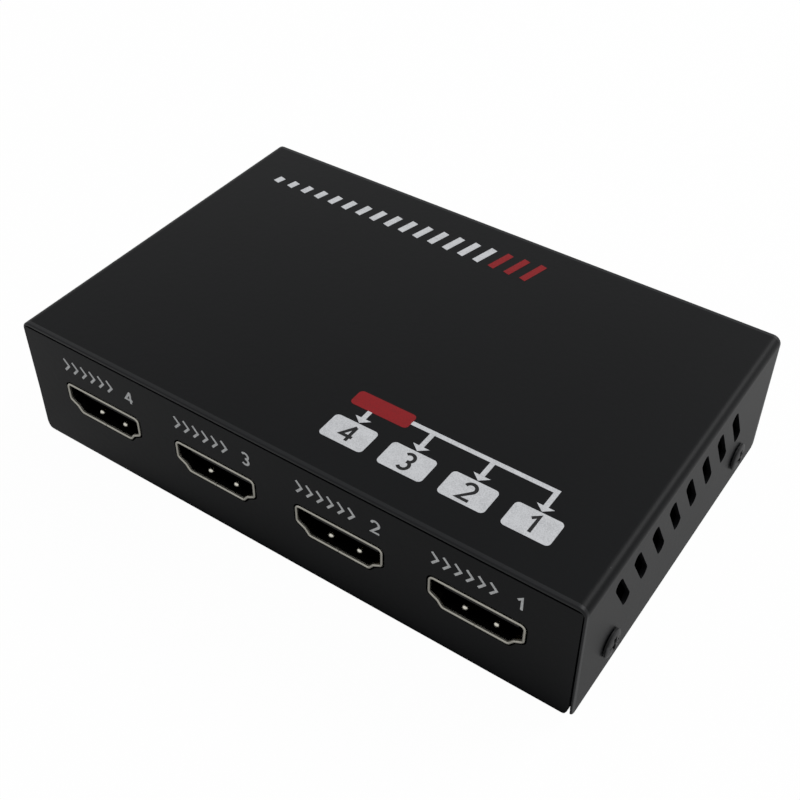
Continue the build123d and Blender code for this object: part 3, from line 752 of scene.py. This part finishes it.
def edge_strip(sizes, end, count=7):
    """Rounded edge of the cover over one panel, carried up one side, across and down the other.

    The path is the cover's outer outline with its normals n; a section point at the depth t
    under the surface lies at path - t n. The outline's lower ends and both of the section's
    free corners are quarter circles, (1 - cos a, 1 - sin a) times their radius.
    """
    low, high = box_of("top_cover")
    panel_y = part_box("base_tray")[1][1]
    quarter = np.linspace(0, math.pi / 2, count)
    turn = np.pi - quarter
    bend, foot = sizes.bend, sizes.foot_round
    up_x = np.concatenate([np.full(count, low[0]), low[0] + bend + bend * np.cos(turn)])
    up_z = np.concatenate([
        low[2] + foot * (1 - np.cos(quarter)), high[2] - bend + bend * np.sin(turn)
    ])
    up_nx = np.concatenate([np.full(count, -1.0), np.cos(turn)])
    up_nz = np.concatenate([np.zeros(count), np.sin(turn)])
    recede = np.concatenate([foot * (1 - np.sin(quarter)), np.zeros(count)])
    across, normal_x = (np.concatenate([v, -v[::-1]]) for v in (up_x, up_nx))
    upward, normal_z, recede = (np.concatenate([v, v[::-1]]) for v in (up_z, up_nz, recede))
    fall = np.clip((high[2] - bend - upward) / (high[2] - bend - low[2]), 0.0, 1.0)
    front = (panel_y - sizes.setback - sizes.lean * fall - recede)[:, None]
    back = (panel_y - sizes.cover_inset - sizes.cover_lean * fall)[:, None]
    thick = (sizes.side + (sizes.top - sizes.side) * normal_z**2)[:, None]
    outer, inner = sizes.round, sizes.inner_round
    depth = np.concatenate([
        np.zeros_like(thick), 0 * thick + outer * (1 - np.cos(quarter)),
        thick - inner + inner * np.sin(quarter), thick,
    ], axis=1)
    out = np.concatenate([
        back, front - outer * (1 - np.sin(quarter)), front - inner * (1 - np.cos(quarter)), back
    ], axis=1)
    return np.stack([
        across[:, None] - normal_x[:, None] * depth, end * out,
        upward[:, None] - normal_z[:, None] * depth,
    ], axis=2)


def side_ring(axis, turns):
    """Directions round the axis of a side screw, from y on."""
    side = np.array((0.0, 1.0, 0.0))
    return unit_ring(side, np.cross(axis, side), turns)


def screw_head(sizes, origin, axis, turns=96, rings=30):
    """Low round head with a cross recess, and its foot ring on the seat.

    Height = edge + (head - edge) sqrt(1 - (r / R)^2) less the recess, which is a smooth step
    of the distance inside the two crossed arms, gentler at the ends of the arms.
    """
    shares = np.concatenate([[0.0], np.linspace(0.02, 1.0, rings)])
    radius = shares[:, None] * sizes.head_radius
    angle = np.linspace(0, math.tau, turns, endpoint=False)
    x, y = np.abs(radius * np.cos(angle)), np.abs(radius * np.sin(angle))
    dome = sizes.edge_height + (sizes.head_height - sizes.edge_height) * np.sqrt(1 - shares**2)
    arm = np.minimum(x, y) - sizes.recess_width / 2
    end = np.maximum(x, y) - sizes.recess_span / 2
    cut = np.clip(-np.maximum(arm, end * sizes.recess_taper) / sizes.recess_wall, 0.0, 1.0)
    height = dome[:, None] - sizes.recess_depth * cut**2 * (3 - 2 * cut)
    ring = side_ring(axis, turns)
    grid = radius[..., None] * ring + height[..., None] * axis
    return np.concatenate([grid, [sizes.head_radius * ring]]) + origin


def screw_shank(sizes, origin, axis, turns=24):
    """Threaded shank: radius = outer less depth times a triangle wave of (depth / pitch - turn)."""
    steps = int(SHANK_LENGTH / sizes.thread_pitch * 8)
    along = (np.linspace(0.0, 1.0, steps) * SHANK_LENGTH)[:, None]
    turned = np.linspace(0, 1, turns, endpoint=False)
    wave = np.abs(((along / sizes.thread_pitch - turned) % 1.0) * 2 - 1)
    radius = sizes.shank_radius - sizes.thread_depth * wave
    return radius[..., None] * side_ring(axis, turns) - along[..., None] * axis + origin


def axes_matrix(right, up, back, spot):
    """Transform of a camera or lamp from its three axes and its place."""
    return Matrix([[float(v) for v in row] for row in zip(right, up, back, spot)] + [[0, 0, 0, 1]])


class SPLITTER_OT_coat_case(bpy.types.Operator):
    """Give the tray and the cover their powder coat, and the feet their rubber"""

    bl_idname = "splitter.coat_case"
    bl_label = "Coat the case"

    def execute(self, context):
        coat_nodes(powder_coat(context.scene.splitter_finish), "base_tray", "top_cover")
        coat_nodes(foot_rubber(), "rubber_feet")
        return {"FINISHED"}


class SPLITTER_OT_cover_edges(bpy.types.Operator):
    """Build the rounded edges of the cover over the front and the rear panel, in a lighter,
    glossier copy of the coat as a painted highlight
    """

    bl_idname = "splitter.cover_edges"
    bl_label = "Cover edges"

    def execute(self, context):
        sizes = context.scene.splitter_edge
        # Painted highlight: the edges take the cover's coat with its colour lifted 1.8 times and
        # its gloss 2.1 times.
        coat = powder_coat(context.scene.splitter_finish, "edge_coat_painted_highlight", gloss=2.1, lift=1.8)
        build_piece("cover_edges", [edge_strip(sizes, end) for end in (-1, 1)], coat)
        return {"FINISHED"}


class SPLITTER_OT_side_screws(bpy.types.Operator):
    """Build the four cross-head screws that hold the cover"""

    bl_idname = "splitter.side_screws"
    bl_label = "Side screws"

    def execute(self, context):
        sizes = context.scene.splitter_screw
        low, high = box_of("cover_screws")
        grids = []
        for side in (-1.0, 1.0):
            seat_x = side * (high[0] - sizes.head_height)
            for y in (low[1] + sizes.head_radius, high[1] - sizes.head_radius):
                origin = (seat_x, y, (low[2] + high[2]) / 2)
                grids.append(screw_head(sizes, origin, (side, 0, 0)))
                grids.append(screw_shank(sizes, origin, (side, 0, 0)))
        middle, half_gap = (low + high)[1:] / 2 / MM, (high[1] - low[1]) / 2 - sizes.head_radius
        steel = blackened_steel(
            context.scene.splitter_finish, [float(v) for v in middle], float(half_gap) / MM,
            sizes.recess_width / MM, sizes.recess_span / MM,
        )
        build_piece("side_screws", grids, steel, ["cover_screws"])
        return {"FINISHED"}


class SPLITTER_OT_socket_shells(bpy.types.Operator):
    """Build the folded metal shells of the five sockets"""

    bl_idname = "splitter.socket_shells"
    bl_label = "Socket shells"

    def execute(self, context):
        sizes = context.scene.splitter_socket
        finish = context.scene.splitter_finish
        nickel = socket_nickel(finish, -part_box("output_1_shell")[0][1])
        # Painted highlight: the springs' dimples take the shell's nickel 1.7 times lighter, for
        # their glints.
        bright = rolled_metal("spring_nickel_painted_highlight", tint(finish.nickel, 1.7), 0.26)
        for name in SOCKETS:
            mouth, (low, high) = socket_mouth(name), box_of(f"{name}_shell")
            depth, drop = high[1] - low[1], high[2] - low[2] - sizes.wall - sizes.inner_height / 2
            grids = [shell_wall(sizes, mouth, depth)]
            for side in (-1, 1):
                for at in (sizes.leg_first, sizes.leg_first + sizes.leg_pitch):
                    grids.append(shell_leg(sizes, mouth, side, at, drop))
            build_piece(f"{name}_socket", grids, nickel, [f"{name}_shell"])
            dimples = [spring_dimple(sizes, mouth, side) for side in (-1, 1)]
            build_piece(f"{name}_springs", dimples, bright)
        return {"FINISHED"}


class SPLITTER_OT_socket_cores(bpy.types.Operator):
    """Finish the sockets' black blocks and gold contacts"""

    bl_idname = "splitter.socket_cores"
    bl_label = "Socket cores"

    def execute(self, context):
        black = moulding("socket_black", (0.006, 0.006, 0.006), 0.55, 0.25)
        gold = rolled_metal("contact_gold", context.scene.splitter_finish.gold, 0.25)
        for name in SOCKETS:
            coat_nodes(black, f"{name}_insulator")
            coat_nodes(gold, f"{name}_contacts")
        return {"FINISHED"}


class SPLITTER_OT_power_jack(bpy.types.Operator):
    """Finish the power jack's body, pin and springs"""

    bl_idname = "splitter.power_jack"
    bl_label = "Power jack"

    def execute(self, context):
        coat_nodes(moulding("jack_black", (0.008, 0.008, 0.009), 0.32, 0.45, 0.5), "dc_jack_body")
        nickel = rolled_metal("jack_nickel", (0.66, 0.64, 0.58), 0.2)
        coat_nodes(nickel, "dc_jack_pin", "dc_jack_leaf", "dc_jack_switch")
        return {"FINISHED"}


class SPLITTER_OT_lamps(bpy.types.Operator):
    """Build the domed lamps of the rear panel"""

    bl_idname = "splitter.lamps"
    bl_label = "Lamps"

    def execute(self, context):
        for node, tinted, count, slot in LAMPS:
            low, high = box_of(node)
            radius, depth = (high[2] - low[2]) / 2, high[1] - low[1]
            bend = np.linspace(0, math.pi / 2, 12)
            dome = np.stack([radius * np.sin(bend), radius * np.cos(bend) - radius], axis=1)
            profile = np.vstack([dome, [(radius, -depth), (0.0, -depth)]])
            grids = [
                spun(profile, (x, high[1], (low[2] + high[2]) / 2), (0, 1, 0))
                for x in np.linspace(low[0] + radius, high[0] - radius, count)
            ]
            build_piece(f"{node}_lens", grids, lamp_resin(slot, tinted), [node])
        coat_nodes(rolled_metal("lead_tin", (0.62, 0.62, 0.6), 0.35), "led_leads")
        return {"FINISHED"}


class SPLITTER_OT_board(bpy.types.Operator):
    """Finish the circuit board and everything that stands on it"""

    bl_idname = "splitter.board"
    bl_label = "Board and its parts"

    def execute(self, context):
        coat_nodes(board_laminate(context.scene.splitter_finish), "main_board")
        steel = rolled_metal("spacer_steel", (0.5, 0.5, 0.48), 0.3)
        coat_nodes(steel, "board_spacers", "board_screws")
        chip = moulding("chip_black", (0.014, 0.014, 0.015), 0.6, 0.3, 0.2)
        coat_nodes(
            chip, "splitter_chip", "power_converter", "voltage_regulators", "memory_chips",
            "surge_guards", "capacitor_bases", "resistors",
        )
        coat_nodes(moulding("pad_grey", (0.3, 0.32, 0.35), 0.8, 0.2, 0.8), "thermal_pad")
        coat_nodes(
            rolled_metal("sink_aluminium", (0.06, 0.06, 0.065), 0.42, (1.0, 0.1, 1.0)), "heat_sink"
        )
        coat_nodes(moulding("inductor_grey", (0.09, 0.09, 0.095), 0.7, 0.3), "power_inductor")
        coat_nodes(rolled_metal("can_aluminium", (0.7, 0.7, 0.71), 0.3), "capacitor_cans")
        coat_nodes(rolled_metal("crystal_steel", (0.6, 0.6, 0.58), 0.28), "crystal")
        coat_nodes(moulding("ceramic_tan", (0.36, 0.24, 0.13), 0.45, 0.4), "ceramic_capacitors")
        return {"FINISHED"}


class SPLITTER_OT_port_labels(bpy.types.Operator):
    """Print a row of chevrons and a plain number over each output"""

    bl_idname = "splitter.port_labels"
    bl_label = "Port labels"

    def execute(self, context):
        sizes = context.scene.splitter_print
        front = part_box("base_tray")[0][1]
        ink = screen_ink("ink_grey", context.scene.splitter_finish.ink_grey)
        tall, half = sizes.label_height, sizes.label_half_width
        starts = [-half + i * sizes.chevron_pitch for i in range(sizes.chevrons)]
        chevrons = [[(x, tall), (x + CHEVRON_DEPTH * tall, tall / 2), (x, 0.0)] for x in starts]
        for number, name in enumerate(OUTPUTS, start=1):
            place = socket_place(name, front, sizes.label_low, -1.0)
            corner = (half - DIGIT_WIDTH * tall, 0.0)
            digit = [np.asarray(p) * tall + corner for p in digit_strokes(number)]
            drawn = [(path, sizes.label_stroke) for path in chevrons + digit]
            print_strips(f"{name}_label", drawn, ink, place)
        return {"FINISHED"}


class SPLITTER_OT_cover_prints(bpy.types.Operator):
    """Print a map of the ports, fed from one red block, and a row of rising bars on the cover"""

    bl_idname = "splitter.cover_prints"
    bl_label = "Cover prints"

    def execute(self, context):
        sizes, finish = context.scene.splitter_print, context.scene.splitter_finish
        origin = (0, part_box("base_tray")[0][1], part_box("top_cover")[1][2])
        place = face_place(origin, (1, 0, 0), (0, 1, 0), (0, 0, 1))
        white = screen_ink("ink_white", finish.ink_white)
        red = screen_ink("ink_red", finish.ink_red)
        dark = screen_ink("ink_dark", finish.coat)

        def strips(name, drawn, material, layer=0):
            print_strips(f"cover_{name}", drawn, material, place, layer)

        left, stroke, corner = sizes.map_left, sizes.map_stroke, sizes.box_corner
        box_low, box_w, box_h = sizes.map_front, sizes.box_width, sizes.box_height
        box_top = box_low + box_h
        feed_y = box_low + sizes.map_depth - sizes.feed_height / 2
        feed_end = left + sizes.feed_width
        head_y = box_top + sizes.arrow_length
        middles = [left + box_w / 2 + i * sizes.map_pitch for i in range(len(OUTPUTS))]
        boxes = [
            filled_bar(x - box_w / 2, x + box_w / 2, box_low + box_h / 2, box_h, corner)
            for x in middles
        ]
        run = [(feed_end, feed_y), (middles[-1], feed_y), (middles[-1], head_y)]
        starts = [feed_y - sizes.feed_height / 2] + [feed_y - stroke / 2] * (len(OUTPUTS) - 2)
        drops = [[(x, y), (x, head_y)] for x, y in zip(middles, starts)]
        lines = [(path, stroke) for path in [run] + drops]
        arrows = [
            ([(x, head_y), (x, box_top + sizes.arrow_gap)], (sizes.arrow_width, POINT))
            for x in middles
        ]
        feed = filled_bar(left, feed_end, feed_y, sizes.feed_height, corner)
        strips("map_boxes", boxes, white)
        strips("map_lines", lines + arrows, white)
        strips("map_feed", [feed], red)
        tall = sizes.map_digit
        digits = []
        for x, number in zip(middles, range(len(OUTPUTS), 0, -1)):
            corner = (x - DIGIT_BOX / 2 * tall, box_low + (box_h - tall) / 2)
            digits += [
                (np.asarray(p) * tall + corner, DIGIT_STROKE * tall) for p in digit_strokes(number)
            ]
        strips("map_numbers", digits, dark, layer=1)

        places = np.linspace(sizes.bars_left, sizes.bars_right, sizes.bars)
        heights = np.linspace(sizes.bar_least, sizes.bar_most, sizes.bars)
        bars = [
            ([(x, sizes.bars_front), (x + sizes.bar_lean * h, sizes.bars_front + h)],
             sizes.bar_width)
            for x, h in zip(places, heights)
        ]
        strips("bars_light", bars[: -sizes.red_bars], white)
        strips("bars_red", bars[-sizes.red_bars :], red)
        return {"FINISHED"}


class SPLITTER_OT_stage(bpy.types.Operator):
    """Set the camera, the pale floor, the even room and the soft lamp"""

    bl_idname = "splitter.stage"
    bl_label = "Stage"

    def execute(self, context):
        stage = context.scene.splitter_stage
        self.set_camera(context, stage)
        self.lay_floor()
        self.light_room(context, stage)
        context.scene.view_settings.view_transform = "Standard"
        return {"FINISHED"}

    def set_camera(self, context, stage):
        """Camera on its axis through a point beside the case's middle, turned by its roll."""
        middle = np.array([0, 0, (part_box("base_tray")[0][2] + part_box("top_cover")[1][2]) / 2])
        az, el, roll = stage.azimuth, stage.elevation, stage.roll
        back = np.array([math.sin(az) * math.cos(el), -math.cos(az) * math.cos(el), math.sin(el)])
        right = np.array([math.cos(az), math.sin(az), 0.0])
        up = np.cross(back, right)
        right, up = (
            math.cos(roll) * right + math.sin(roll) * up,
            math.cos(roll) * up - math.sin(roll) * right,
        )
        eye = middle + stage.distance * back - stage.slide[0] * right - stage.slide[1] * up
        data = bpy.data.cameras.new("camera")
        data.sensor_width, data.lens, data.clip_start = SENSOR, stage.lens, NEAR_CLIP
        data.shift_x, data.shift_y = stage.shift
        camera = add_object("camera", data)
        camera.matrix_world = axes_matrix(right, up, back, eye)
        context.scene.camera = camera

    def lay_floor(self):
        """Paper that catches light, but looks white to the camera and half white to gloss."""
        corners = [(x * FLOOR_HALF, y * FLOOR_HALF, 0) for x, y in SQUARE]
        mesh = bpy.data.meshes.new("floor")
        mesh.from_pydata(corners, [], [(0, 1, 2, 3)])
        floor = add_object("floor", mesh)
        paper = Shader("paper", Base_Color=(0.8, 0.8, 0.8), Roughness=0.9, Specular_IOR_Level=0.1)
        glow = paper.node("ShaderNodeEmission", {}, {"Color": (1.0, 1.0, 1.0), "Strength": 1.0})
        camera, glossy, through = paper.seen_rays()
        white = (camera * 0.98).larger(glossy * 0.5).larger(through * 0.2)
        surface = Wire(paper, paper.surface.outputs[0])
        lit = paper.node("ShaderNodeMixShader", {}, {0: white, 1: surface, 2: glow})
        dark = paper.node("ShaderNodeEmission", {}, {"Color": (0.0, 0.0, 0.0), "Strength": 0.0})
        shadow = glossy * self.shade_ahead(paper)
        shaded = paper.node("ShaderNodeMixShader", {}, {0: shadow, 1: lit, 2: dark})
        paper.feed(paper.tree.nodes["Material Output"].inputs["Surface"], shaded)
        mesh.materials.append(paper.material)

    def shade_ahead(self, paper):
        """Soft shade on the floor that only the case's gloss sees.

        Bands of smooth steps, in millimetres ahead of the front panel and across: a wide and
        a narrow dark one before the panel, and a faint one beside the cover.
        """
        at = paper.place()
        across = paper.part_of(at, 0)
        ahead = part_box("base_tray")[0][1] / MM - paper.part_of(at, 1)
        before = paper.step(ahead, -0.6, -0.1) * paper.step(across, 50.0, 49.0)
        near = paper.step(ahead, 14.0, 0.0) * paper.step(across, -45.0, 0.0)
        contact = paper.step(ahead, 2.6, 1.4) * paper.step(across, -47.0, -22.0)
        beside = paper.step(across, 47.9, 48.2) * paper.step(across, 64.0, 50.0)
        return ((near * 0.55).larger(contact) * before).larger(beside * 0.22)

    def light_room(self, context, stage):
        """Even light, which looks white where it is seen, and a lamp that points at the case."""
        world = bpy.data.worlds.new("room")
        world.use_nodes = True
        room = Nodes(world.node_tree)
        camera, glossy, through = room.seen_rays()
        seen = camera.larger(glossy).larger(through)
        background = world.node_tree.nodes["Background"]
        room.feed(background.inputs["Color"], (1.0, 1.0, 1.0))
        strength = seen * (1.0 - stage.surround) + stage.surround
        room.feed(background.inputs["Strength"], strength)
        context.scene.world = world
        data = bpy.data.lights.new("key", "AREA")
        data.shape, data.size, data.energy = "DISK", LAMP_SIZE, LAMP_POWER
        lamp = add_object("key", data)
        back = np.array(LAMP_SPOT) / np.linalg.norm(LAMP_SPOT)
        right = np.cross((0.0, 0.0, 1.0), back)
        right = right / np.linalg.norm(right)
        lamp.matrix_world = axes_matrix(right, np.cross(back, right), back, LAMP_SPOT)


PIECES = (
    SPLITTER_OT_coat_case, SPLITTER_OT_cover_edges, SPLITTER_OT_side_screws,
    SPLITTER_OT_socket_shells, SPLITTER_OT_socket_cores, SPLITTER_OT_power_jack,
    SPLITTER_OT_lamps, SPLITTER_OT_board, SPLITTER_OT_port_labels, SPLITTER_OT_cover_prints,
    SPLITTER_OT_stage,
)
GROUPS = {
    "splitter_finish": SplitterFinish,
    "splitter_edge": SplitterEdge,
    "splitter_socket": SplitterSocket,
    "splitter_screw": SplitterScrew,
    "splitter_print": SplitterPrint,
    "splitter_stage": SplitterStage,
}


class SPLITTER_PT_sidebar(bpy.types.Panel):
    """Sizes and colours of the splitter, with a button for each piece"""

    bl_idname = "SPLITTER_PT_sidebar"
    bl_label = "Video splitter"
    bl_space_type = "VIEW_3D"
    bl_region_type = "UI"
    bl_category = "Splitter"

    def draw(self, context):
        for piece in PIECES:
            self.layout.operator(piece.bl_idname)
        for name, group in GROUPS.items():
            box = self.layout.box()
            for field in group.__annotations__:
                box.prop(getattr(context.scene, name), field)


def register():
    for made in (*GROUPS.values(), *PIECES, SPLITTER_PT_sidebar):
        bpy.utils.register_class(made)
    for name, group in GROUPS.items():
        setattr(bpy.types.Scene, name, PointerProperty(type=group))


def unregister():
    for name in GROUPS:
        delattr(bpy.types.Scene, name)
    for made in reversed((*GROUPS.values(), *PIECES, SPLITTER_PT_sidebar)):
        bpy.utils.unregister_class(made)


def main():
    register()
    for piece in PIECES:
        group, name = piece.bl_idname.split(".")
        getattr(getattr(bpy.ops, group), name)()


if __name__ == "__main__":
    main()
